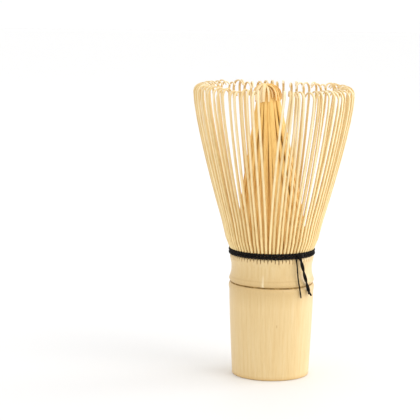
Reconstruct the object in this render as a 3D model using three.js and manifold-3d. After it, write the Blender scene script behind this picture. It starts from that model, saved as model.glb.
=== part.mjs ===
// Bamboo tea whisk.
//
// A short length of bamboo is the handle. Above its node the wall is split into two rings of
// fine tines: the outer ring flares into an open head with its tips curled inward, and the inner
// ring is gathered into a bundle round the axis. A black thread is woven through their roots.
//
// Millimetres, +Z up. The origin is the middle of the rim that the whisk stands on.
// Azimuths are measured from the front of the whisk (-Y) towards its right (+X).

import * as THREE from 'three';
import { mergeVertices } from 'three/addons/utils/BufferGeometryUtils.js';
import Module from 'manifold-3d';

const wasm = await Module();
wasm.setup();

// Driving dimensions: heights
const totalHeight = 108;
const nodeHeight = 35;
const threadHeight = 46.5;
const outerHeadDrop = 0.4;

// Driving dimensions: the handle
const rimRadius = 14.3;
const rimChamfer = 0.5;
const boreRadius = 10.5;
const nodeRadius = 15.9;
const ridgeFootDrop = 2.8;
const ridgeCrestDrop = 0.7;
const nodeDiscThickness = 0.6;
const nodeGrooveDepth = 0.5;
const membraneThickness = 1.2;
const membraneGap = 0.3;
const collarWaistRadius = 14.95;
const collarShoulderRadius = 15.6;
const collarTopRadius = 15.1;
const collarPinchSlope = 2;
const collarFlareShare = 0.25;
const collarWaistShare = 0.6;
const collarWall = 2.8;

// Driving dimensions: the tines
const combCount = 12;
const tinesPerComb = 6;
const headRadius = 30;
const bundleRadius = 4.9;
const wallSplitGap = 0.8;
const heelHeight = 0.9;
const tineRootLift = 0.3;
const tineRootThickness = 0.7;
const tineTipThickness = 0.4;
const outerRootWidth = 0.85;
const outerTipWidth = 0.55;
const outerRootLean = 20;
const outerHookRadius = 3.1;
const outerHookTurn = 150;
const innerTineArc = 3.5;
const innerRootLean = 1;
const innerHookRadius = 3.2;
const innerHookTurn = 85;

// Driving dimensions: the thread
const threadThickness = 0.8;
const threadRows = 2;
const threadGap = 0.2;
const rowGap = 0.02;
const knotAzimuth = 41;
const knotRadius = 0.7;
const tailThickness = 0.6;
const tailStandOff = 0.3;

// Clearances between pieces that are cut from the same wall but move by themselves
const heelGap = 0.3;
const combGap = 0.3;
const knotGap = 0.3;

// How far along a tine's rise its root and its shoulder each hold their direction, as shares
const outerHold = { root: 0.25, shoulder: 0.15 };
const innerHold = { root: 0.3, shoulder: 0.3 };

// How finely round shapes are divided
const ringSegments = 36;
const heelSegments = 4;
const stemSteps = 5;
const outerHookSteps = 3;
const innerHookSteps = 2;
const threadSides = 8;
const tailSteps = 8;
const knotSegments = 10;
const knotRings = 8;
const mergeDistance = 1e-5;

// Worked out from the driving dimensions
const degree = Math.PI / 180;
const combAngle = (2 * Math.PI) / combCount;
const tineAngle = combAngle / tinesPerComb;
const hingeHeight = threadHeight;
const collarTop = hingeHeight - heelGap / 2;
const heelBottom = hingeHeight + heelGap / 2;
const bindingHeight = threadRows * threadThickness + (threadRows - 1) * rowGap;
const bindingBottom = threadHeight - bindingHeight / 2;
const bindingInnerRadius = collarTopRadius + threadGap / 2;
const bindingOuterRadius = bindingInnerRadius + threadThickness;
const outerHeelRadius = bindingInnerRadius - threadGap;
const heelThickness = (collarWall - wallSplitGap) / 2;
const innerHeelRadius = outerHeelRadius - heelThickness - wallSplitGap;

// Materials
const bambooSkin = new THREE.MeshStandardMaterial({ color: 0xe6c890, roughness: 0.42, metalness: 0 });
const nodeScar = new THREE.MeshStandardMaterial({ color: 0x8a5f2a, roughness: 0.7, metalness: 0 });
const paleTines = new THREE.MeshStandardMaterial({ color: 0xf1dcae, roughness: 0.5, metalness: 0 });
const honeyTines = new THREE.MeshStandardMaterial({ color: 0xdba85c, roughness: 0.55, metalness: 0 });
const blackThread = new THREE.MeshStandardMaterial({ color: 0x1b1614, roughness: 0.85, metalness: 0 });

const whisk = new THREE.Group();

function addPart(name, geometry, material, turn = 0) {
  const mesh = new THREE.Mesh(geometry, material);
  mesh.name = name;
  mesh.rotation.z = turn;
  whisk.add(mesh);
  return mesh;
}

// A solid turned about +Z from [radius, height] points, listed up the outside and down the inside.
function turned(points) {
  const profile = [...points, points[0]].map(([radius, height]) => new THREE.Vector2(radius, height));
  const geometry = new THREE.LatheGeometry(profile, ringSegments);
  return geometry.rotateX(Math.PI / 2);
}

function solidOf(geometry) {
  geometry.deleteAttribute('normal');
  geometry.deleteAttribute('uv');
  const merged = mergeVertices(geometry, mergeDistance);
  return new wasm.Manifold(new wasm.Mesh({
    numProp: 3,
    vertProperties: new Float32Array(merged.attributes.position.array),
    triVerts: new Uint32Array(merged.index.array),
  }));
}

function geometryOf(solid) {
  const mesh = solid.getMesh();
  const geometry = new THREE.BufferGeometry();
  geometry.setAttribute('position', new THREE.BufferAttribute(mesh.vertProperties, mesh.numProp));
  geometry.setIndex(new THREE.BufferAttribute(mesh.triVerts, 1));
  geometry.computeVertexNormals();
  return geometry;
}

function azimuthPoint(azimuth, radius, height) {
  const angle = azimuth * degree;
  return new THREE.Vector3(radius * Math.sin(angle), -radius * Math.cos(angle), height);
}

// Handle: the culm from its rim up to the node, open below.
const discBottom = nodeHeight - nodeDiscThickness / 2;
const discTop = nodeHeight + nodeDiscThickness / 2;
const grooveRadius = nodeRadius - nodeGrooveDepth;

addPart('handle_culm', turned([
  [boreRadius, 0],
  [rimRadius - rimChamfer, 0],
  [rimRadius, rimChamfer],
  [nodeRadius - nodeGrooveDepth / 2, discBottom - ridgeFootDrop],
  [nodeRadius, discBottom - ridgeCrestDrop],
  [grooveRadius, discBottom],
  [boreRadius, discBottom],
]), bambooSkin);

// Node: the wall's scar ring and the membrane that closes the culm there.
const membraneRadius = boreRadius - membraneGap;
addPart('node_diaphragm', turned([
  [0, nodeHeight - membraneThickness / 2],
  [membraneRadius, nodeHeight - membraneThickness / 2],
  [membraneRadius, discBottom],
  [grooveRadius, discBottom],
  [grooveRadius, discTop],
  [membraneRadius, discTop],
  [membraneRadius, nodeHeight + membraneThickness / 2],
  [0, nodeHeight + membraneThickness / 2],
]), nodeScar);

// Collar: the waisted wall between the node and the binding. The splits end in its shoulder,
// which swells just under the pinch of the thread.
const pinchHeight = bindingBottom - threadGap;
const shoulderHeight = pinchHeight - (collarShoulderRadius - collarTopRadius) * collarPinchSlope;
const waistedHeight = shoulderHeight - discTop;
addPart('root_collar', turned([
  [boreRadius, discTop],
  [grooveRadius, discTop],
  [nodeRadius - nodeGrooveDepth / 2, discTop + nodeGrooveDepth],
  [(nodeRadius + collarWaistRadius) / 2 - nodeGrooveDepth / 2, discTop + waistedHeight * collarFlareShare],
  [collarWaistRadius, discTop + waistedHeight * collarWaistShare],
  [collarShoulderRadius, shoulderHeight],
  [collarTopRadius, pinchHeight],
  [collarTopRadius, collarTop],
  [collarTopRadius - collarWall, collarTop],
]), bambooSkin);

// A tine's centre line in the plane through the axis: a stem from its root to its shoulder, and
// a hook that turns inward from there.
function centreLine({ root, lean, shoulder, hold, hookRadius, hookTurn, hookSteps }) {
  const rise = shoulder.y - root.y;
  const leaning = new THREE.Vector2(Math.tan(lean * degree), 1);
  const lowHandle = leaning.multiplyScalar(hold.root * rise).add(root);
  const highHandle = new THREE.Vector2(0, -hold.shoulder * rise).add(shoulder);
  const stem = new THREE.CubicBezierCurve(root, lowHandle, highHandle, shoulder);
  const hook = new THREE.EllipseCurve(
    shoulder.x - hookRadius, shoulder.y, hookRadius, hookRadius, 0, hookTurn * degree);
  const stations = [];
  for (let step = 0; step < stemSteps; step += 1) {
    const along = step / stemSteps;
    stations.push({ point: stem.getPoint(along), tangent: stem.getTangent(along) });
  }
  for (let step = 0; step <= hookSteps; step += 1) {
    const along = step / hookSteps;
    stations.push({ point: hook.getPoint(along), tangent: hook.getTangent(along) });
  }
  return stations;
}

// One tine in the middle of its comb, which is +X: its outline in the plane through the axis,
// drawn one millimetre wide and then given its own half width at every radius and height.
function tineSolid(stations, halfWidthAt) {
  const outside = [];
  const inside = [];
  stations.forEach(({ point, tangent }, index) => {
    const share = index / (stations.length - 1);
    const half = (tineRootThickness + (tineTipThickness - tineRootThickness) * share) / 2;
    const across = new THREE.Vector2(tangent.y, -tangent.x).multiplyScalar(half);
    outside.push(point.clone().add(across));
    inside.unshift(point.clone().sub(across));
  });
  const outline = new THREE.Shape([...outside, ...inside]);
  const depth = 1;
  const geometry = new THREE.ExtrudeGeometry(outline, { depth, bevelEnabled: false });
  geometry.rotateX(Math.PI / 2).translate(0, depth / 2, 0);
  const position = geometry.attributes.position;
  for (let vertex = 0; vertex < position.count; vertex += 1) {
    const side = Math.sign(position.getY(vertex));
    position.setY(vertex, side * halfWidthAt(position.getX(vertex), position.getZ(vertex)));
  }
  return solidOf(geometry);
}

// The short arc of wall that a comb's tines grow from.
function heelSolid(outerRadius) {
  const innerRadius = outerRadius - heelThickness;
  const half = combAngle / 2 - combGap / 2 / innerRadius;
  const outline = new THREE.Shape();
  outline.absarc(0, 0, outerRadius, -half, half, false);
  outline.absarc(0, 0, innerRadius, half, -half, true);
  const geometry = new THREE.ExtrudeGeometry(outline, {
    depth: heelHeight, bevelEnabled: false, curveSegments: heelSegments / 2 });
  return solidOf(geometry.translate(0, 0, heelBottom));
}

function combGeometry(tine, heel) {
  const tines = [];
  for (let place = 0; place < tinesPerComb; place += 1) {
    const turn = (place - (tinesPerComb - 1) / 2) * tineAngle;
    tines.push(tine.rotate([0, 0, turn / degree]));
  }
  return geometryOf(tines.reduce((comb, one) => comb.add(one), heel));
}

const rootHeight = heelBottom + tineRootLift;

// Outer ring: the skin side of the wall, flaring to the head and hooked inward at the top.
const outerStations = centreLine({
  root: new THREE.Vector2(outerHeelRadius - heelThickness / 2, rootHeight),
  lean: outerRootLean,
  shoulder: new THREE.Vector2(
    headRadius - tineRootThickness / 2,
    totalHeight - outerHeadDrop - outerHookRadius - tineTipThickness / 2),
  hold: outerHold,
  hookRadius: outerHookRadius,
  hookTurn: outerHookTurn,
  hookSteps: outerHookSteps,
});

// An outer tine is shaved narrower towards its tip.
function outerHalfWidth(radius, height) {
  const share = (height - rootHeight) / (totalHeight - rootHeight);
  return (outerRootWidth + (outerTipWidth - outerRootWidth) * share) / 2;
}

const outerComb = combGeometry(tineSolid(outerStations, outerHalfWidth), heelSolid(outerHeelRadius));

// Inner ring: the pith side of the wall, gathered in to the bundle.
const innerStations = centreLine({
  root: new THREE.Vector2(innerHeelRadius - heelThickness / 2, rootHeight),
  lean: innerRootLean,
  shoulder: new THREE.Vector2(
    bundleRadius - tineRootThickness / 2,
    totalHeight - innerHookRadius - tineTipThickness / 2),
  hold: innerHold,
  hookRadius: innerHookRadius,
  hookTurn: innerHookTurn,
  hookSteps: innerHookSteps,
});

// An inner tine keeps to its own share of the circle, so it narrows as it nears the axis.
function innerHalfWidth(radius) {
  return radius * Math.tan((innerTineArc / 2) * degree);
}

const innerComb = combGeometry(tineSolid(innerStations, innerHalfWidth), heelSolid(innerHeelRadius));

for (let comb = 0; comb < combCount; comb += 1) {
  const number = String(comb + 1).padStart(2, '0');
  const turn = (comb + 0.5) * combAngle;
  addPart(`outer_tines_${number}`, outerComb, paleTines, turn);
  addPart(`inner_tines_${number}`, innerComb, honeyTines, turn);
}

// Binding: rows of thread round the roots, level with the hinge line.
const bindingMiddle = (bindingInnerRadius + bindingOuterRadius) / 2;
for (let row = 0; row < threadRows; row += 1) {
  const height = bindingBottom + threadThickness / 2 + row * (threadThickness + rowGap);
  const section = new THREE.EllipseCurve(bindingMiddle, height, threadThickness / 2, threadThickness / 2);
  const points = section.getPoints(threadSides).slice(1).map((point) => [point.x, point.y]);
  addPart(`binding_thread_row_${row + 1}`, turned(points), blackThread);
}

// Knot: a bead of thread on the front right of the binding.
const knotPlace = azimuthPoint(knotAzimuth, bindingOuterRadius + knotGap + knotRadius, threadHeight);
const knot = addPart(
  'binding_knot', new THREE.SphereGeometry(knotRadius, knotSegments, knotRings), blackThread);
knot.position.copy(knotPlace);

// Tails: three ends of thread that hang from the knot over the node.
const widestBelowKnot = Math.max(nodeRadius, rimRadius, collarWaistRadius, collarShoulderRadius);
const tailRadius = widestBelowKnot + tailStandOff + tailThickness / 2;
const tailStart = threadHeight - knotRadius - knotGap - tailThickness / 2;
const tails = [
  { azimuths: [33, 35, 38, 42], fall: 14.3 },
  { azimuths: [40, 46, 53, 58], fall: 14.2 },
  { azimuths: [44, 50, 57, 62], fall: 13.4 },
];
tails.forEach(({ azimuths, fall }, index) => {
  const drop = fall / (azimuths.length - 1);
  const route = new THREE.CatmullRomCurve3(
    azimuths.map((azimuth, step) => azimuthPoint(azimuth, tailRadius, tailStart - step * drop)));
  const section = new THREE.Shape().absarc(0, 0, tailThickness / 2, 0, 2 * Math.PI);
  const tube = new THREE.ExtrudeGeometry(section, {
    extrudePath: route, steps: tailSteps, curveSegments: threadSides / 2, bevelEnabled: false });
  addPart(`thread_tail_${index + 1}`, tube, blackThread);
});

export default whisk;
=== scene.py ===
import bmesh
import bpy
import math
import random
from mathutils import Matrix, Vector
from mathutils.geometry import interpolate_bezier


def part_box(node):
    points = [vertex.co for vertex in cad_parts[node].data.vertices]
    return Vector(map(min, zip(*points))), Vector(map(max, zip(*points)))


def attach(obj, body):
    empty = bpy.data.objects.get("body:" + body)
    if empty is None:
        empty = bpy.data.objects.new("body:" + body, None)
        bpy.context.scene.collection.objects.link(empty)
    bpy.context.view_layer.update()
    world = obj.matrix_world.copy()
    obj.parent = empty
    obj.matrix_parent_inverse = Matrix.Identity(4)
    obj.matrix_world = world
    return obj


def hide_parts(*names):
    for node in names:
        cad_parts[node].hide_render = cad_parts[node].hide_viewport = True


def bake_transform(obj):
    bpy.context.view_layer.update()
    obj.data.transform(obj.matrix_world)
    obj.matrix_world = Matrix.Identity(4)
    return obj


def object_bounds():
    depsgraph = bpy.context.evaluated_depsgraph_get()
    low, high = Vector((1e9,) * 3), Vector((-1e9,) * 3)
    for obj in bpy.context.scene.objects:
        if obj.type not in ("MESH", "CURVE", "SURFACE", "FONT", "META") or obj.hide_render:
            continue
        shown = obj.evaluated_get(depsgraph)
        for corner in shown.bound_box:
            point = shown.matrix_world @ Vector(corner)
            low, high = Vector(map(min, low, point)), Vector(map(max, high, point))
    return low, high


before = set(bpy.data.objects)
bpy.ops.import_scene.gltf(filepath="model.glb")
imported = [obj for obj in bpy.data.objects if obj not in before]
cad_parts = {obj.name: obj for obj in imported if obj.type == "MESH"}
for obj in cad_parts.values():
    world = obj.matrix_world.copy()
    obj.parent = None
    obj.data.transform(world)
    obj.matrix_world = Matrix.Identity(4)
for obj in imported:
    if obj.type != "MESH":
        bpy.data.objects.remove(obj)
cad_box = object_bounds()


# Camera: a long lens just above the height of the whisk's head, looking slightly down at it,
# with the whisk standing right of the middle.
camera_place = Vector((0.00125, -0.6608, 0.1558))
camera_turn = 0.0369
camera_dip = 0.1421
camera_roll = 0.0101
camera_lens = 154.3
sensor_width = 36
camera_data = bpy.data.cameras.new("camera")
camera_data.sensor_width = sensor_width
camera_data.lens = camera_lens
camera = bpy.data.objects.new("camera", camera_data)
bpy.context.scene.collection.objects.link(camera)
camera.matrix_world = (
    Matrix.Translation(camera_place)
    @ Matrix.Rotation(camera_turn, 4, "Z")
    @ Matrix.Rotation(math.pi / 2 - camera_dip, 4, "X")
    @ Matrix.Rotation(camera_roll, 4, "Z")
)
bpy.context.scene.camera = camera


# Culm: the handle is a hollow length of bamboo, sawn square at the rim and scraped clean.
# It swells a little towards the node, and ends there in a low ridge.
culm_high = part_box("handle_culm")[1]
bore_radius = 0.0105
rim_radius = 0.0143
rim_round = 0.0005
ridge_radius = culm_high[0]
groove_depth = 0.0005
groove_radius = ridge_radius - groove_depth
culm_top = culm_high[2]
faint_ring = culm_top + 0.0024
node_tilt = 0.00038
node_ripple = 0.00008
node_wave_reach = 0.003
culm_oval = 0.0016
culm_lobes = 0.0009
round_steps = 144
wall_steps = 22
merge_distance = 1e-7


def azimuth_of(place):
    """Degrees round the whisk from its front, positive towards its right."""
    return math.degrees(math.atan2(place[0], -place[1]))


def close_profile(bm, points):
    """A closed outline of [radius, height] points, ready to be spun round the culm's axis."""
    corners = [bm.verts.new((radius, 0, height)) for radius, height in points]
    for corner, following in zip(corners, corners[1:] + corners[:1]):
        bm.edges.new((corner, following))
    return corners


def spin_round(bm, steps):
    """Spin the outline once round the axis and close its seam."""
    bmesh.ops.spin(
        bm, geom=bm.verts[:] + bm.edges[:], cent=(0, 0, 0), axis=(0, 0, 1), dvec=(0, 0, 0),
        angle=2 * math.pi, steps=steps, use_merge=True)
    bmesh.ops.remove_doubles(bm, verts=bm.verts[:], dist=merge_distance)


def wave_node(bm, level):
    """The node of a real culm is never quite level or round, so what meets there waves with it."""
    for vert in bm.verts:
        turn = math.radians(azimuth_of(vert.co))
        nearness = math.exp(-((vert.co.z - level) / node_wave_reach) ** 2)
        wave = -node_tilt * math.cos(turn - 0.45) + node_ripple * math.sin(3 * turn + 2.1)
        vert.co.z += wave * nearness
        swell = 1 + culm_oval * math.sin(2 * turn + 0.4) + culm_lobes * math.sin(5 * turn)
        vert.co.x *= swell
        vert.co.y *= swell


def finish_mesh(bm, name, material, sharp=40):
    """Make the mesh an object, smooth except where its faces meet at more than `sharp` degrees."""
    bmesh.ops.recalc_face_normals(bm, faces=bm.faces[:])
    for face in bm.faces:
        face.smooth = True
    for edge in bm.edges:
        edge.smooth = edge.calc_face_angle(0) < math.radians(sharp)
    mesh = bpy.data.meshes.new(name)
    bm.to_mesh(mesh)
    bm.free()
    piece = bpy.data.objects.new(name, mesh)
    bpy.context.scene.collection.objects.link(piece)
    mesh.materials.append(material)
    return piece


def add_node(tree, kind, inputs=None, **settings):
    """A shader node with its settings, and its inputs given as values or as links."""
    made = tree.nodes.new(kind)
    for name, value in settings.items():
        setattr(made, name, value)
    for name, value in (inputs or {}).items():
        if isinstance(value, bpy.types.NodeSocket):
            tree.links.new(value, made.inputs[name])
        else:
            made.inputs[name].default_value = value
    return made


def add_ramp(tree, factor, stops):
    """A colour ramp through [position, colour] stops."""
    ramp = add_node(tree, "ShaderNodeValToRGB", {"Fac": factor})
    elements = ramp.color_ramp.elements
    while len(elements) < len(stops):
        elements.new(0.5)
    for element, (position, colour) in zip(elements, stops):
        element.position = position
        element.color = (*colour, 1)
    return ramp.outputs["Color"]


def mix_colours(tree, factor, first, second, blend="MIX"):
    """Two colours mixed by a factor; each may be a value or a link."""
    mixed = add_node(tree, "ShaderNodeMix", data_type="RGBA", blend_type=blend)
    for name, value in (("Factor_Float", factor), ("A_Color", first), ("B_Color", second)):
        socket = next(one for one in mixed.inputs if one.identifier == name)
        if isinstance(value, bpy.types.NodeSocket):
            tree.links.new(value, socket)
        elif name == "Factor_Float":
            socket.default_value = value
        else:
            socket.default_value = (*value, 1)
    return next(one for one in mixed.outputs if one.identifier == "Result_Color")


def do_maths(tree, operation, first, second=0.5, clamp=False):
    """One sum on values or links."""
    return add_node(
        tree, "ShaderNodeMath", {0: first, 1: second}, operation=operation,
        use_clamp=clamp).outputs[0]


def make_fibre_group():
    """Bamboo's fibres run along the culm: fine ones that can be felt, streaks, and blotches."""
    group = bpy.data.node_groups.new("bamboo_fibre", "ShaderNodeTree")
    group.interface.new_socket("Place", in_out="INPUT", socket_type="NodeSocketVector")
    for name in ("Fine", "Streak", "Blotch"):
        group.interface.new_socket(name, in_out="OUTPUT", socket_type="NodeSocketFloat")
    place = group.nodes.new("NodeGroupInput").outputs["Place"]
    ends = group.nodes.new("NodeGroupOutput")
    for name, stretch, scale, detail in (
            ("Fine", 0.02, 5200, 2), ("Streak", 0.035, 1300, 3), ("Blotch", 0.35, 160, 2)):
        along = add_node(group, "ShaderNodeMapping", {"Vector": place, "Scale": (1, 1, stretch)})
        grain = add_node(group, "ShaderNodeTexNoise", {
            "Vector": along.outputs["Vector"], "Scale": scale, "Detail": detail, "Roughness": 0.55})
        group.links.new(grain.outputs["Fac"], ends.inputs[name])
    return group


fibre_group = make_fibre_group()


def start_material(name, roughness, coat=0.0):
    """A new material with its shader, the object coordinates, and the bamboo fibre group."""
    material = bpy.data.materials.new(name)
    material.use_nodes = True
    tree = material.node_tree
    shader = tree.nodes["Principled BSDF"]
    shader.inputs["Roughness"].default_value = roughness
    shader.inputs["Coat Weight"].default_value = coat
    shader.inputs["Coat Roughness"].default_value = 0.35
    place = add_node(tree, "ShaderNodeTexCoord").outputs["Object"]
    fibre = add_node(tree, "ShaderNodeGroup", node_tree=fibre_group)
    tree.links.new(place, fibre.inputs["Place"])
    return material, tree, shader, place, fibre


def raise_bump(tree, shader, height, distance, strength=1.0):
    """Relief finer than the mesh, from a height between 0 and 1."""
    bump = add_node(tree, "ShaderNodeBump", {
        "Height": height, "Distance": distance, "Strength": strength})
    tree.links.new(bump.outputs["Normal"], shader.inputs["Normal"])


def near_height(tree, place, level, spread):
    """1 at a height on the whisk, falling to 0 a spread away from it."""
    height = add_node(tree, "ShaderNodeSeparateXYZ", {"Vector": place}).outputs["Z"]
    away = do_maths(tree, "ABSOLUTE", do_maths(tree, "SUBTRACT", height, level))
    share = do_maths(tree, "DIVIDE", away, spread)
    return do_maths(tree, "SUBTRACT", 1.0, share, clamp=True)


def make_skin_material():
    """Scraped bamboo skin: pale honey with streaks along the fibres, and darker round the node with
    painted shade.
    """
    material, tree, shader, place, fibre = start_material("bamboo_skin", 0.45, coat=0.25)
    streaks = add_ramp(tree, fibre.outputs["Streak"], [
        (0.3, (0.72, 0.51, 0.23)), (0.5, (0.77, 0.575, 0.28)), (0.72, (0.80, 0.62, 0.335))])
    blotch = do_maths(tree, "MULTIPLY", fibre.outputs["Blotch"], 0.6)
    colour = mix_colours(tree, blotch, streaks, (0.76, 0.53, 0.24))
    # Painted shade: the skin is darkened round the node's height, where its ridge shades the wall.
    painted_node_shade = do_maths(tree, "MULTIPLY", near_height(tree, place, culm_top, 0.008), 0.75)
    colour = mix_colours(tree, painted_node_shade, colour, (0.62, 0.42, 0.17))
    by_rim = do_maths(tree, "MULTIPLY", near_height(tree, place, 0, 0.0016), 0.6)
    colour = mix_colours(tree, by_rim, colour, (0.70, 0.44, 0.15))
    on_ring = do_maths(tree, "MULTIPLY", near_height(tree, place, faint_ring, 0.0004), 0.35)
    colour = mix_colours(tree, on_ring, colour, (0.55, 0.36, 0.14))
    fibres = add_ramp(tree, fibre.outputs["Fine"], [
        (0.35, (0.86, 0.82, 0.74)), (0.55, (1, 1, 1)), (1.0, (1, 1, 1))])
    colour = mix_colours(tree, 0.3, colour, fibres, "MULTIPLY")
    drawn_out = add_node(tree, "ShaderNodeMapping", {"Vector": place, "Scale": (1, 1, 0.35)})
    specks = add_node(tree, "ShaderNodeTexVoronoi", {
        "Vector": drawn_out.outputs["Vector"], "Scale": 230, "Randomness": 1.0}, feature="F1")
    flecks = add_ramp(tree, specks.outputs["Distance"], [
        (0.045, (0.55, 0.36, 0.16)), (0.085, (1, 1, 1)), (1.0, (1, 1, 1))])
    colour = mix_colours(tree, 0.6, colour, flecks, "MULTIPLY")
    tree.links.new(colour, shader.inputs["Base Color"])
    dull = add_node(
        tree, "ShaderNodeMath", {0: fibre.outputs["Streak"], 1: 0.3, 2: 0.3},
        operation="MULTIPLY_ADD")
    tree.links.new(dull.outputs[0], shader.inputs["Roughness"])
    raise_bump(tree, shader, fibre.outputs["Fine"], 0.00006, 0.5)
    return material


skin_material = make_skin_material()


def make_cut_material():
    """Sawn ends and the bore: open pores in a darker, drier wood."""
    material, tree, shader, place, fibre = start_material("bamboo_cut", 0.75)
    pores = add_node(tree, "ShaderNodeTexVoronoi", {
        "Vector": place, "Scale": 1500, "Randomness": 0.9}, feature="F1")
    dots = add_ramp(tree, pores.outputs["Distance"], [
        (0.08, (0.28, 0.16, 0.06)), (0.26, (0.66, 0.46, 0.22)), (0.6, (0.78, 0.60, 0.34))])
    colour = mix_colours(tree, fibre.outputs["Blotch"], dots, (0.62, 0.42, 0.19))
    tree.links.new(colour, shader.inputs["Base Color"])
    raise_bump(tree, shader, pores.outputs["Distance"], 0.00012, 0.6)
    return material


cut_material = make_cut_material()

bm = bmesh.new()
outer_wall = interpolate_bezier(
    Vector((rim_radius, 0, 0)), Vector((rim_radius + 0.0005, 0, 0.011)),
    Vector((ridge_radius - 0.0004, 0, 0.022)), Vector((ridge_radius - 0.00025, 0, 0.0318)),
    wall_steps)
corners = close_profile(bm, [
    (bore_radius, culm_top), (bore_radius, 0.022), (bore_radius - 0.0003, 0.008), (bore_radius, 0),
    *[(point.x, point.z) for point in outer_wall],
    (ridge_radius - 0.00005, 0.0329), (ridge_radius, 0.0337), (ridge_radius - 0.0002, 0.0343),
    (groove_radius, culm_top)])
bmesh.ops.bevel(
    bm, geom=[corners[3], corners[4]], offset=rim_round, affect="VERTICES", segments=3,
    profile=0.5, material=-1)
spin_round(bm, round_steps)
wave_node(bm, culm_top)
culm = finish_mesh(bm, "culm", skin_material)
culm.data.materials.append(cut_material)
for face in culm.data.polygons:
    middle = face.center
    in_bore = math.hypot(middle.x, middle.y) < rim_radius - rim_round
    face.material_index = 1 if in_bore and middle.z < culm_top - rim_round else 0
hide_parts("handle_culm")
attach(culm, "handle")


# Node: a scar rings the culm where the sheath grew, dark and sunk below the skin on both sides.
# Inside it the culm is closed by a thin, papery membrane.
disc_low, disc_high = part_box("node_diaphragm")
collar_low, collar_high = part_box("root_collar")
membrane_radius = bore_radius - 0.0003
membrane_dish = 0.0004
membrane_steps = 8
scar_radius = groove_radius - 0.0001
scar_sink = 0.00015


def make_scar_material():
    """The scar is dark brown cork; the membrane is a paler, dusty skin."""
    material, tree, shader, place, fibre = start_material("node_scar", 0.8)
    cork = add_node(tree, "ShaderNodeTexNoise", {"Vector": place, "Scale": 900, "Detail": 4})
    scar = add_ramp(tree, cork.outputs["Fac"], [
        (0.3, (0.15, 0.08, 0.018)), (0.55, (0.34, 0.20, 0.05)), (0.75, (0.56, 0.37, 0.13))])
    paper = add_ramp(tree, fibre.outputs["Blotch"], [
        (0.3, (0.62, 0.46, 0.26)), (0.7, (0.82, 0.70, 0.48))])
    flat_place = add_node(
        tree, "ShaderNodeVectorMath", {0: place, 1: (1, 1, 0)}, operation="MULTIPLY")
    from_axis = add_node(
        tree, "ShaderNodeVectorMath", {0: flat_place.outputs["Vector"]}, operation="LENGTH")
    on_rim = do_maths(tree, "GREATER_THAN", from_axis.outputs["Value"], bore_radius)
    colour = mix_colours(tree, on_rim, paper, scar)
    tree.links.new(colour, shader.inputs["Base Color"])
    raise_bump(tree, shader, cork.outputs["Fac"], 0.0002, 0.8)
    return material


bm = bmesh.new()
membrane_low = interpolate_bezier(
    Vector((0, 0, disc_low[2] + membrane_dish)), Vector((0.005, 0, disc_low[2] + membrane_dish)),
    Vector((0.008, 0, disc_low[2])), Vector((membrane_radius, 0, disc_low[2])), membrane_steps)
thickness = Vector((0, 0, disc_high[2] - disc_low[2]))
membrane_high = [point + thickness for point in membrane_low]
corners = [bm.verts.new(point) for point in (
    *membrane_low,
    (membrane_radius, 0, culm_top),
    (scar_radius, 0, culm_top),
    (scar_radius - scar_sink, 0, (culm_top + collar_low[2]) / 2),
    (scar_radius, 0, collar_low[2]),
    (membrane_radius, 0, collar_low[2]),
    *reversed(membrane_high))]
for corner, following in zip(corners, corners[1:]):
    bm.edges.new((corner, following))
spin_round(bm, round_steps)
wave_node(bm, culm_top)
node_disc = finish_mesh(bm, "node_scar", make_scar_material())
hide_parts("node_diaphragm")
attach(node_disc, "handle")


# Collar: above the node the wall is pared to a waist, then swells where the knife's splits end.
# Each split runs a little way below the thread and is darkened with painted shade. A pale bud scar
# stands on the node's front left, with a painted highlight along its right edge.
tine_count = 72
binding_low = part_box("binding_thread_row_1")[0]
binding_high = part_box("binding_thread_row_2")[1]
collar_top = collar_high[2]
waist_radius = 0.01495
waist_height = 0.0408
shoulder_radius = 0.01556
shoulder_height = 0.0446
pinch_radius = 0.0151
collar_wall = 0.0028
split_depth = 0.0009
split_ends = 0.0439
split_scatter = (-0.0005, 0.0004)
split_slope = 0.0007
steps_per_tine = 8
bud_azimuth = -12.5
bud_height = 0.0044
bud_width = 0.0009
bud_taper = 0.4
bud_swell = 0.00025
bud_highlight_place = 0.45
bud_highlight_width = 0.35


def make_collar_material():
    """The skin again, paler round the bud scar with a painted highlight on its right edge, and
    darkened in the splits with painted shade.
    """
    material = skin_material.copy()
    material.name = "collar_skin"
    tree = material.node_tree
    shader = tree.nodes["Principled BSDF"]
    before = shader.inputs["Base Color"].links[0].from_socket
    split_shade = add_node(tree, "ShaderNodeAttribute", attribute_name="split_shade").outputs["Fac"]
    bud_scar_and_highlight = add_node(tree, "ShaderNodeAttribute", attribute_name="bud_scar_and_highlight").outputs["Fac"]
    colour = mix_colours(tree, bud_scar_and_highlight, before, (0.86, 0.72, 0.46))
    colour = mix_colours(tree, split_shade, colour, (0.30, 0.13, 0.03))
    tree.links.new(colour, shader.inputs["Base Color"])
    return material


bm = bmesh.new()
lower_wall = interpolate_bezier(
    Vector((ridge_radius - 0.0002, 0, collar_low[2] + 0.0011)),
    Vector((ridge_radius - 0.0006, 0, 0.0378)),
    Vector((waist_radius - 0.00005, 0, 0.0385)), Vector((waist_radius, 0, waist_height)), 10)
upper_wall = interpolate_bezier(
    Vector((waist_radius, 0, waist_height)), Vector((waist_radius, 0, 0.0425)),
    Vector((shoulder_radius, 0, 0.0433)), Vector((shoulder_radius, 0, shoulder_height)), 12)
corners = close_profile(bm, [
    (bore_radius, collar_low[2]), (groove_radius, collar_low[2]),
    (ridge_radius - 0.00022, collar_low[2] + 0.0004),
    (ridge_radius - 0.0001, collar_low[2] + 0.0008),
    *[(point.x, point.z) for point in lower_wall],
    *[(point.x, point.z) for point in upper_wall[1:]],
    (shoulder_radius - 0.00008, 0.0449), (shoulder_radius - 0.00025, 0.0452),
    (pinch_radius, 0.0455), (pinch_radius, collar_top),
    (pinch_radius - collar_wall, collar_top)])
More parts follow.
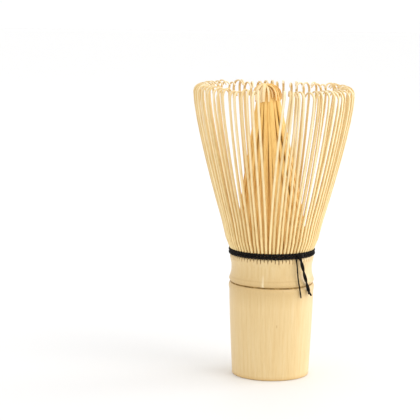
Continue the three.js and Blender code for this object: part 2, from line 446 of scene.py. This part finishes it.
spin_round(bm, tine_count * steps_per_tine)
split_shade_layer = bm.verts.layers.float.new("split_shade")
bud_scar_and_highlight_layer = bm.verts.layers.float.new("bud_scar_and_highlight")
rng = random.Random(11)
split_starts = [split_ends + rng.uniform(*split_scatter) for _ in range(tine_count)]
for vert in bm.verts:
    radius = math.hypot(vert.co.x, vert.co.y)
    if radius < pinch_radius - collar_wall / 2:
        continue
    turned = math.atan2(vert.co.y, vert.co.x) / (2 * math.pi)
    column = round(turned * tine_count * steps_per_tine)
    which, step = divmod(column, steps_per_tine)
    nearest = which if step <= steps_per_tine / 2 else which + 1
    depth = min(max((vert.co.z - split_starts[nearest % tine_count]) / split_slope, 0), 1)
    if step == 0:
        shrink = 1 - split_depth * depth / radius
        vert.co.x *= shrink
        vert.co.y *= shrink
        # Painted shade: each split is darkened where shade falls into the cut.
        vert[split_shade_layer] = min(1, depth * 4)
    beside = math.radians(azimuth_of(vert.co) - bud_azimuth) * radius
    up = min(max((vert.co.z - collar_low[2]) / bud_height, 0), 1)
    across = beside / (bud_width * (1 - bud_taper * up))
    if up < 1 and abs(across) < 1:
        swell = (1 - across ** 2) * (1 - up) ** 0.7
        lift = 1 + bud_swell * swell / radius
        vert.co.x *= lift
        vert.co.y *= lift
        # Painted highlight: a lighter stripe down the bud scar's right edge, on the side towards
        # the light; the rest of the scar is its own paler colour.
        edge = math.exp(-((across - bud_highlight_place) / bud_highlight_width) ** 2)
        vert[bud_scar_and_highlight_layer] = (0.2 * (1 - across ** 2) + 0.8 * edge) * (1 - up) ** 0.5
wave_node(bm, culm_top)
collar = finish_mesh(bm, "collar", make_collar_material(), sharp=50)
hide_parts("root_collar")
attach(collar, "handle")


# Outer tines: the skin side of the wall, split and shaved into springy blades. Steam bends them
# out from the thread into a flaring head, and their tips are drawn inward into hooks.
comb_count = 12
tines_per_comb = tine_count // comb_count
thread_height = (binding_low[2] + binding_high[2]) / 2
whisk_top = cad_box[1][2]
head_radius = cad_box[1][0]
outer_root = Vector((0.0145, 0, 0.0459))
outer_width = [(0, 0.00092), (0.35, 0.0009), (0.75, 0.0008), (1, 0.00055)]
outer_depth = [(0, 0.00075), (0.35, 0.00068), (0.75, 0.00048), (1, 0.0003)]
blade = [(-0.5, -0.5), (0.5, -0.5), (0.5, 0.15), (0.28, 0.5), (-0.28, 0.5), (-0.5, 0.15)]
skin_edge = 0.5
root_lean = math.radians(20)
root_hold = 0.25
shoulder_hold = 0.15
root_swell = 0.0006
swell_height = thread_height + 0.0035
swell_reach = 0.003
reach_spread = (-0.0011, -0.0001)
top_spread = (-0.0009, 0.0001)
left_rise = 0.0007
hook_radii = (0.0027, 0.0033)
hook_turns = (140, 170)
hook_tightening = 0.18
curl_spread = 0.22
lean_spread = 0.55
sway_spread = 0.00025
stem_steps = 9
hook_steps = 7


def read_along(table, along):
    """A size that changes along a tine, from [share, size] pairs."""
    for (before, first), (after, second) in zip(table, table[1:]):
        if along <= after:
            return first + (second - first) * (along - before) / (after - before)
    return table[-1][1]


def sweep_blade(bm, section, path, sideways, width, depth, layers, tone):
    """Draw a blade's section out along a path, one extrusion a step. The section's width lies
    along `sideways`, and its outer face looks away from the axis."""
    places = []
    last = len(path) - 1
    for step, point in enumerate(path):
        ahead = (path[min(step + 1, last)] - path[max(step - 1, 0)]).normalized()
        across = (sideways - ahead * sideways.dot(ahead)).normalized()
        outward = across.cross(ahead)
        along = step / last
        place = Matrix((across, outward, ahead)).transposed().to_4x4()
        place.translation = point
        size = Matrix.Diagonal((read_along(width, along), read_along(depth, along), 1, 1))
        places.append(place @ size)
    verts = [bm.verts.new(places[0] @ Vector((x, y, 0))) for x, y in section]
    for vert, (x, y) in zip(verts, section):
        vert[layers[2]] = 1 if y == skin_edge else 0
    face = bm.faces.new(verts)
    for step, place in enumerate(places):
        if step:
            drawn = bmesh.ops.extrude_face_region(bm, geom=[face])["geom"]
            if step > 1:
                bmesh.ops.delete(bm, geom=[face], context="FACES_ONLY")
            verts = [part for part in drawn if isinstance(part, bmesh.types.BMVert)]
            face = next(part for part in drawn if isinstance(part, bmesh.types.BMFace))
            bmesh.ops.transform(bm, matrix=place @ places[step - 1].inverted(), verts=verts)
        for vert in verts:
            vert[layers[0]] = tone
            vert[layers[1]] = step / last


def make_tine_material(name, low, high, tip, deep, roughness):
    """Shaved bamboo: golden at the root, paler to the tip, and darker on its cut sides, where the
    shade between neighbouring tines is painted on. Each tine has its own tone."""
    material, tree, shader, _, fibre = start_material(name, roughness, coat=0.05)
    tone = add_node(tree, "ShaderNodeAttribute", attribute_name="tone").outputs["Fac"]
    along = add_node(tree, "ShaderNodeAttribute", attribute_name="along").outputs["Fac"]
    skin = add_node(tree, "ShaderNodeAttribute", attribute_name="skin").outputs["Fac"]
    colour = add_ramp(tree, along, [(0.0, low), (0.45, high), (0.7, high), (0.85, tip)])
    colour = mix_colours(tree, do_maths(tree, "MULTIPLY", tone, 0.8), colour, deep)
    # Painted shade: the cut sides are pulled towards the deep colour, standing in for shade between
    # tines.
    painted_side_shade = do_maths(tree, "MULTIPLY", do_maths(tree, "SUBTRACT", 1.0, skin), 0.7)
    colour = mix_colours(tree, painted_side_shade, colour, deep)
    streaks = add_ramp(tree, fibre.outputs["Streak"], [
        (0.32, (0.80, 0.72, 0.58)), (0.55, (1, 1, 1)), (1.0, (1, 1, 1))])
    colour = mix_colours(tree, 0.55, colour, streaks, "MULTIPLY")
    tree.links.new(colour, shader.inputs["Base Color"])
    raise_bump(tree, shader, fibre.outputs["Fine"], 0.00005, 0.5)
    return material


outer_material = make_tine_material(
    "outer_tines", (0.98, 0.76, 0.36), (0.98, 0.84, 0.55), (0.98, 0.88, 0.65), (0.76, 0.54, 0.22),
    0.5)
# Partings: the azimuth of each, the degrees that tines lean to its left and to its right, and how
# many degrees away the lean dies out.
partings = [
    (-5, 3.5, 10.5, 16), (24, 2, 2, 5.5), (-26, 1.3, 1.3, 5), (68, 1.4, 1.4, 6),
    (-74, 1.2, 1.2, 6), (134, 1.5, 1.5, 7), (-139, 1.4, 1.4, 6)]


def part_tines(azimuth):
    """Tines lean away from the partings where the head has opened unevenly."""
    shift = 0
    for parting, to_left, to_right, reach in partings:
        away = (azimuth - parting + 180) % 360 - 180
        push = to_right if away > 0 else -to_left
        shift += push * math.exp(-(away / reach) ** 2)
    return shift


def outer_path(azimuth, rng):
    """The line of one outer tine, from inside the collar to the tip of its hook."""
    turn = math.radians(azimuth)
    outward = Vector((math.sin(turn), -math.cos(turn), 0))
    sideways = Vector((math.cos(turn), math.sin(turn), 0))
    hook = rng.uniform(*hook_radii)
    reach = head_radius + rng.uniform(*reach_spread)
    top = whisk_top + left_rise * max(0, -math.sin(turn)) + rng.uniform(*top_spread)
    shoulder = Vector((reach, 0, top - hook))
    rise = shoulder.z - outer_root.z
    stem = interpolate_bezier(
        outer_root, outer_root + Vector((math.tan(root_lean), 0, 1)) * root_hold * rise,
        shoulder - Vector((0, 0, shoulder_hold * rise)), shoulder, stem_steps + 1)
    hook_turn = math.radians(rng.uniform(*hook_turns))
    curl = rng.uniform(-curl_spread, curl_spread)
    lean = math.radians(part_tines(azimuth) + rng.uniform(-lean_spread, lean_spread)) * reach
    sway = rng.uniform(-sway_spread, sway_spread)
    line = []
    for point in stem:
        up = (point.z - outer_root.z) / rise
        aside = lean * up ** 1.6 + sway * math.sin(math.pi * up * 1.5)
        swell = root_swell * math.exp(-((point.z - swell_height) / swell_reach) ** 2)
        line.append(outward * (point.x + swell) + sideways * aside + Vector((0, 0, point.z)))
    for step in range(1, hook_steps + 1):
        angle = hook_turn * step / hook_steps
        tighter = hook * (1 - hook_tightening * step / hook_steps)
        radius = shoulder.x - hook + tighter * math.cos(angle)
        aside = lean + sway * math.sin(math.pi * 1.5) + curl * (shoulder.x - radius)
        height = shoulder.z + tighter * math.sin(angle)
        line.append(outward * radius + sideways * aside + Vector((0, 0, height)))
    return line, sideways


def build_comb(name, node, tines, section, material, width, depth):
    """A comb of neighbouring tines as one piece."""
    bm = bmesh.new()
    layers = [bm.verts.layers.float.new(layer) for layer in ("tone", "along", "skin")]
    for path, sideways, tone, girth in tines:
        widths = [(along, girth * size) for along, size in width]
        sweep_blade(bm, section, path, sideways, widths, depth, layers, tone)
    comb = finish_mesh(bm, name, material, sharp=32)
    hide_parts(node)
    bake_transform(comb)
    return comb


rng = random.Random(29)
for comb in range(comb_count):
    number = f"{comb + 1:02d}"
    tines = []
    for place in range(tines_per_comb):
        azimuth = (comb * tines_per_comb + place + 0.5) * 360 / tine_count + 90
        path, sideways = outer_path((azimuth + 180) % 360 - 180, rng)
        tines.append((path, sideways, rng.random() ** 2, rng.uniform(0.9, 1.08)))
    build_comb(
        f"outer_comb_{number}", f"outer_tines_{number}", tines, blade,
        outer_material, outer_width, outer_depth)


# Inner tines: the pith side of the same splits, gathered in to a bundle that stands a little left
# of the middle. They lie in three layers, and some of the hooked tips fall over the far side.
inner_root = Vector((0.0127, 0, 0.0459))
bundle_shift = Vector((-0.0022, 0, 0))
layer_radii = [0.0037, 0.0029, 0.0020]
neck_spread = 0.0002
bundle_rise = 0.0003
top_scatter = 0.0007
hook_drop = 0.0018
layer_drop = 0.0008
arch_reach = 0.0045
arch_spread = (-0.0006, 0.0004)
arch_turns = (165, 185)
arch_curls = (0.15, 0.4)
arch_hangs = (0.0008, 0.0022)
front_hang = 0.0024
front_girth = 1.5
small_hooks = (0.0014, 0.0019)
small_turns = (95, 150)
small_curls = (-0.3, 0.3)
inmost_girth = 1.4
bow_spread = 0.0003
shoulder_lean = math.radians(11)
inner_width = [(0, 0.0009), (0.5, 0.0011), (0.85, 0.00092), (1, 0.00075)]
inner_depth = [(0, 0.00065), (0.5, 0.0005), (1, 0.0003)]
strip = [(-0.5, -0.5), (0.5, -0.5), (0.5, 0.3), (0.36, 0.5), (-0.36, 0.5), (-0.5, 0.3)]
inner_material = make_tine_material(
    "inner_tines", (0.98, 0.70, 0.30), (0.99, 0.68, 0.23), (0.95, 0.76, 0.44), (0.80, 0.46, 0.10),
    0.55)


def inner_path(index, azimuth, over_front, rng):
    """The line of one inner tine. Every fourth one arches over the top to the bundle's far side,
    and those that come over to the front hang down it."""
    turn = math.radians(azimuth)
    outward = Vector((math.sin(turn), -math.cos(turn), 0))
    sideways = Vector((math.cos(turn), math.sin(turn), 0))
    layer = index % 3
    arches = index % 4 == 0
    neck = layer_radii[0 if arches else layer] + rng.uniform(-neck_spread, neck_spread)
    far_side = arch_reach + rng.uniform(*arch_spread)
    hook = (neck + far_side) / 2 if arches else rng.uniform(*small_hooks)
    sunk = 0 if arches else hook_drop + layer_drop * layer
    top = whisk_top + bundle_rise - rng.uniform(0, top_scatter) - sunk
    middle = Vector((neck - hook * math.cos(shoulder_lean), 0, top - hook))
    shoulder = middle + hook * Vector((math.cos(shoulder_lean), 0, math.sin(shoulder_lean)))
    rise = shoulder.z - inner_root.z
    stem = interpolate_bezier(
        inner_root, inner_root + Vector((-0.0006, 0, 0.3 * rise)),
        shoulder + 0.32 * rise * Vector((math.tan(shoulder_lean), 0, -1)), shoulder, stem_steps + 1)
    hook_turn = math.radians(rng.uniform(*(arch_turns if arches else small_turns)))
    hang = rng.uniform(*arch_hangs) if arches else 0
    if over_front:
        hang = front_hang
    curl = rng.uniform(*(arch_curls if arches else small_curls))
    bow = rng.uniform(-bow_spread, bow_spread)
    line = []
    for point in stem:
        up = (point.z - inner_root.z) / rise
        aside = bow * math.sin(math.pi * up)
        line.append(
            outward * point.x + sideways * aside + bundle_shift * up ** 1.1
            + Vector((0, 0, point.z)))
    for step in range(1, hook_steps + 1):
        angle = shoulder_lean + (hook_turn - shoulder_lean) * step / hook_steps
        radius = middle.x + hook * math.cos(angle)
        aside = curl * (shoulder.x - radius)
        height = middle.z + hook * math.sin(angle)
        line.append(
            outward * radius + sideways * aside + bundle_shift + Vector((0, 0, height)))
    if hang:
        line.append(line[-1] + Vector((0, 0, -hang)))
    return line, sideways


rng = random.Random(5)
for comb in range(comb_count):
    number = f"{comb + 1:02d}"
    tines = []
    for place in range(tines_per_comb):
        index = comb * tines_per_comb + place
        azimuth = ((index + 0.5) * 360 / tine_count + 270) % 360 - 180
        over_front = index % 4 == 0 and abs(azimuth) > 150
        path, sideways = inner_path(index, azimuth, over_front, rng)
        tone = 0 if over_front else rng.random() ** 1.2
        girth = front_girth if over_front else inmost_girth if index % 3 == 2 else 1
        tines.append((path, sideways, tone, girth))
    build_comb(
        f"inner_comb_{number}", f"inner_tines_{number}", tines, strip,
        inner_material, inner_width, inner_depth)


# Binding: one long black thread twined round the tines in two rows, over a straight turn in each.
# The strands of a row cross at every tine, and the rows twist opposite ways, like a braid.
strand_radius = 0.00036
twine_radius = 0.00028
twine_turns = tine_count // 2
strand_proud = 0.0001
binding_radius = binding_high[0] - strand_radius - twine_radius + strand_proud
row_spacing = 0.00112
points_per_turn = 10


def make_thread_material():
    """Dull black cotton, with a little brown painted in as highlights on its fuzz and its twist."""
    material, tree, shader, place, _ = start_material("black_thread", 0.9)
    fuzz_and_painted_highlight = add_node(tree, "ShaderNodeTexNoise", {"Vector": place, "Scale": 2600, "Detail": 3})
    # Painted highlight: brown flecks in the base colour stand in for light catching the fuzz.
    colour = add_ramp(tree, fuzz_and_painted_highlight.outputs["Fac"], [
        (0.4, (0.004, 0.003, 0.002)), (0.62, (0.014, 0.011, 0.009)), (0.8, (0.07, 0.058, 0.05))])
    tree.links.new(colour, shader.inputs["Base Color"])
    shader.inputs["Specular IOR Level"].default_value = 0.12
    shader.inputs["Sheen Weight"].default_value = 0.06
    shader.inputs["Sheen Roughness"].default_value = 0.4
    raise_bump(tree, shader, fuzz_and_painted_highlight.outputs["Fac"], 0.00012, 0.8)
    return material


thread_material = make_thread_material()


def make_strands(name, routes, radius, cyclic):
    """Strands of thread as one mesh, each a round tube along its route."""
    curve = bpy.data.curves.new(name, "CURVE")
    curve.dimensions = "3D"
    curve.bevel_depth = radius
    curve.bevel_resolution = 1
    curve.use_fill_caps = True
    for route in routes:
        spline = curve.splines.new("POLY")
        spline.points.add(len(route) - 1)
        spline.use_cyclic_u = cyclic
        for point, place in zip(spline.points, route):
            point.co = (*place, 1)
    drawn = bpy.data.objects.new(name, curve)
    bm = bmesh.new()
    bm.from_mesh(bpy.data.meshes.new_from_object(drawn))
    bpy.data.objects.remove(drawn)
    bmesh.ops.remove_doubles(bm, verts=bm.verts[:], dist=merge_distance)
    return finish_mesh(bm, name, thread_material, sharp=70)


for row, twist in ((1, 1), (2, -1)):
    middle = thread_height + (row - 1.5) * row_spacing
    routes = []
    for strand in range(2):
        route = []
        count = twine_turns * points_per_turn
        for step in range(count):
            angle = 2 * math.pi * step / count
            phase = twist * twine_turns * angle + math.pi * strand
            radius = binding_radius + twine_radius * math.cos(phase)
            route.append((
                radius * math.cos(angle), radius * math.sin(angle),
                middle + twine_radius * math.sin(phase)))
        routes.append(route)
    core_height = middle - (row - 1.5) * strand_radius
    core_radius = binding_radius - strand_radius / 2
    routes.append([
        (core_radius * math.cos(angle), core_radius * math.sin(angle), core_height)
        for angle in (2 * math.pi * step / round_steps for step in range(round_steps))])
    binding = make_strands(f"binding_row_{row}", routes, strand_radius, True)
    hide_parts(f"binding_thread_row_{row}")
    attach(binding, "handle")


# Knot and ends: the thread is tied off on the right of the front, and its ends are left to hang
# over the node: two twisted together, and one by itself.
knot_azimuth = 41
knot_radius = binding_radius + twine_radius + 0.0002
tail_radius = ridge_radius + strand_radius + 0.00012
pair_radius = tail_radius + 0.0003
single_girth = 0.8
twist_radius = 0.00031
twist_turns = 2.2
fray_from = 0.7
fray = 0.0006
shorter_by = 3
millimetre = 0.001


def around(azimuth, radius, height):
    """A point round the whisk, at an azimuth from its front."""
    turn = math.radians(azimuth)
    return Vector((radius * math.sin(turn), -radius * math.cos(turn), height))


def smooth_route(points, per_span=6):
    """A smooth line through given points."""
    route = []
    for index in range(len(points) - 1):
        before = points[max(index - 1, 0)]
        first, second = points[index], points[index + 1]
        after = points[min(index + 2, len(points) - 1)]
        route += interpolate_bezier(
            first, first + (second - before) / 6, second - (after - first) / 6, second,
            per_span)[:-1]
    return route + [points[-1]]


def knot_point(right, out, up):
    """A point by the knot, in millimetres to its right, outward and up."""
    return around(
        knot_azimuth + math.degrees(right * millimetre / knot_radius),
        knot_radius + out * millimetre, thread_height + up * millimetre)


first_loop = [
    knot_point(-1.5, -0.1, 0.1), knot_point(-0.8, 0.25, 0.5), knot_point(0.1, 0.55, 0.45),
    knot_point(0.75, 0.4, -0.15), knot_point(0.35, 0.1, -0.8), knot_point(-0.4, 0.2, -0.75),
    knot_point(-0.65, 0.55, -0.1), knot_point(-0.1, 0.8, 0.4), knot_point(0.7, 0.45, 0.6),
    knot_point(1.4, -0.1, 0.2)]
second_loop = [
    knot_point(1.3, -0.1, -0.3), knot_point(0.7, 0.6, -0.35), knot_point(0.0, 0.85, -0.1),
    knot_point(-0.55, 0.5, 0.35), knot_point(-0.9, 0.1, -0.2), knot_point(-0.6, 0.3, -0.9)]
knot = make_strands(
    "knot", [smooth_route(first_loop), smooth_route(second_loop)], strand_radius, False)
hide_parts("binding_knot")
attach(knot, "handle")

single_end = [
    around(34, knot_radius, 0.0461), around(34, knot_radius + 0.0003, 0.0450),
    around(35, tail_radius, 0.0425), around(36.5, tail_radius, 0.0385),
    around(38.5, tail_radius + 0.0002, 0.0350), around(41, tail_radius, 0.0325),
    around(42, tail_radius, 0.0309)]
tail = make_strands("thread_end_1", [smooth_route(single_end)], strand_radius * single_girth, False)
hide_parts("thread_tail_1")
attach(tail, "handle")

pair_middle = smooth_route([
    around(39, knot_radius + 0.0003, 0.0462), around(41, pair_radius, 0.0440),
    around(45, pair_radius, 0.0405), around(50, pair_radius, 0.0368),
    around(55, pair_radius, 0.0335), around(58.5, pair_radius, 0.0312)], 8)
for strand, node, shortening in ((0, "thread_tail_2", 0), (1, "thread_tail_3", shorter_by)):
    route = []
    for step, point in enumerate(pair_middle[:len(pair_middle) - shortening]):
        along = step / (len(pair_middle) - 1)
        phase = 2 * math.pi * twist_turns * along + math.pi * strand
        apart = twist_radius + fray * max(0, along - fray_from)
        outward = Vector((point.x, point.y, 0)).normalized()
        sideways = Vector((-outward.y, outward.x, 0))
        route.append(point + (sideways * math.cos(phase) + outward * math.sin(phase)) * apart)
    tail = make_strands(f"thread_end_{strand + 2}", [route], strand_radius, False)
    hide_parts(node)
    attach(tail, "handle")


# Floor and light: the whisk stands on a plain white sweep, in a bright and softly lit room.
# The window is on its right, with a strip of reflected daylight beyond it.
floor_gap = 0.00005
bm = bmesh.new()
bmesh.ops.create_grid(bm, x_segments=1, y_segments=1, size=3)
floor_material = bpy.data.materials.new("floor")
floor_material.use_nodes = True
floor_shader = floor_material.node_tree.nodes["Principled BSDF"]
floor_shader.inputs["Base Color"].default_value = (0.85, 0.85, 0.85, 1)
floor_shader.inputs["Roughness"].default_value = 0.6
bmesh.ops.translate(bm, verts=bm.verts[:], vec=(0, 0, -floor_gap))
floor = finish_mesh(bm, "floor", floor_material)


def add_light(name, kind, azimuth, height, distance, power, **settings):
    """A light that looks at the middle of the whisk, placed by degrees round it and above it."""
    data = bpy.data.lights.new(name, kind)
    data.energy = power
    for setting, value in settings.items():
        setattr(data, setting, value)
    light = bpy.data.objects.new(name, data)
    bpy.context.scene.collection.objects.link(light)
    level = math.cos(math.radians(height))
    out = Matrix.Rotation(math.radians(azimuth), 3, "Z") @ Vector((0, -level, 0))
    out.z = math.sin(math.radians(height))
    place = Vector((0, 0, whisk_top / 2)) + out * distance
    facing = out.to_track_quat("Z", "Y").to_matrix().to_4x4()
    light.matrix_world = Matrix.Translation(place) @ facing


add_light("window", "SUN", 58, 40, 1, 0.75, angle=0.7, color=(1, 0.985, 0.96))
add_light("strip", "AREA", 112, 10, 1.1, 5.5, size=0.6, color=(0.97, 0.99, 1))
room = bpy.data.worlds.new("room")
room.use_nodes = True
room.node_tree.nodes["Background"].inputs["Color"].default_value = (1, 1, 1, 1)
room.node_tree.nodes["Background"].inputs["Strength"].default_value = 1.02
bpy.context.scene.world = room
bpy.context.scene.view_settings.view_transform = "Standard"
